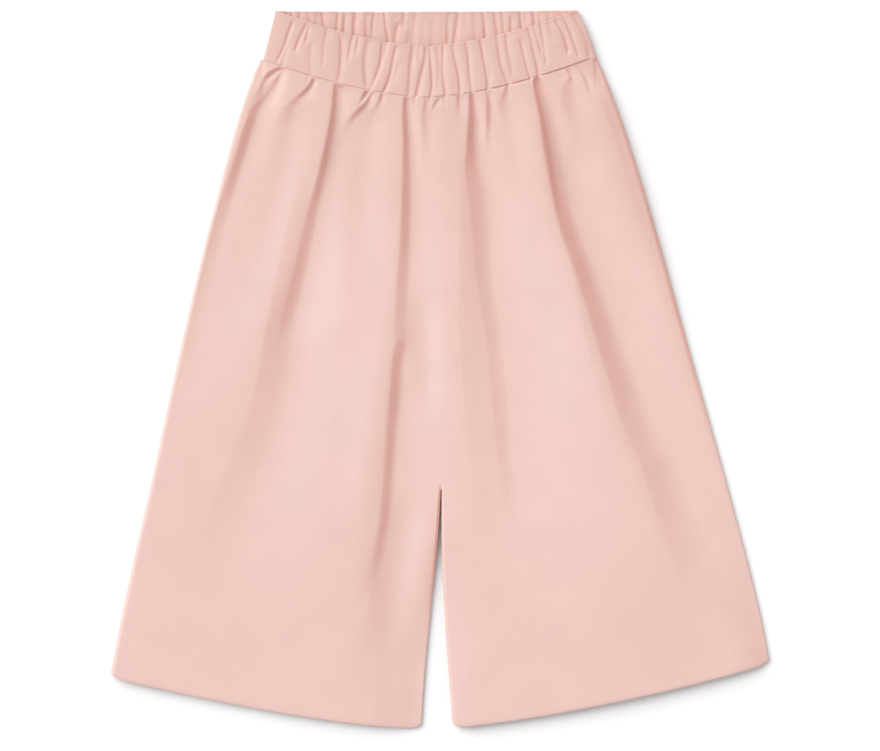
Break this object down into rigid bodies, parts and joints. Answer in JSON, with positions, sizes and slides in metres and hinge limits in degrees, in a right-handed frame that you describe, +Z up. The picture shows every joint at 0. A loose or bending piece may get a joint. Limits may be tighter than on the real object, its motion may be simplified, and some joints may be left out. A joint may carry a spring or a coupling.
{
  "type": "culottes",
  "caption": "Wide-legged pull-on culottes laid flat, gathered into a ruched elasticated waistband, with long soft folds from the waist and a narrow gap between the legs.",
  "frame": {"origin": "on the surface that the garment lies on, under the middle of its bounding box", "axes": "+Y runs from the hems to the waist, +Z up off the surface through the layers, +X to the wearer's left, the front faces up"},
  "size_m": [0.5255, 0.5734, 0.0152],
  "materials": {
    "cotton": "matt crinkled plain-weave cotton, pale pink",
    "cotton_back": "matt crinkled plain-weave cotton, pale pink",
    "cotton_ruched": "matt crinkled plain-weave cotton, pale pink, ruched over elastic"
  },
  "bodies": {
    "root": {"front_leg_right": "cotton", "front_leg_left": "cotton", "back_leg_right": "cotton_back", "back_leg_left": "cotton_back", "waistband_front": "cotton_ruched", "waistband_back": "cotton_ruched"}
  },
  "joints": []
}
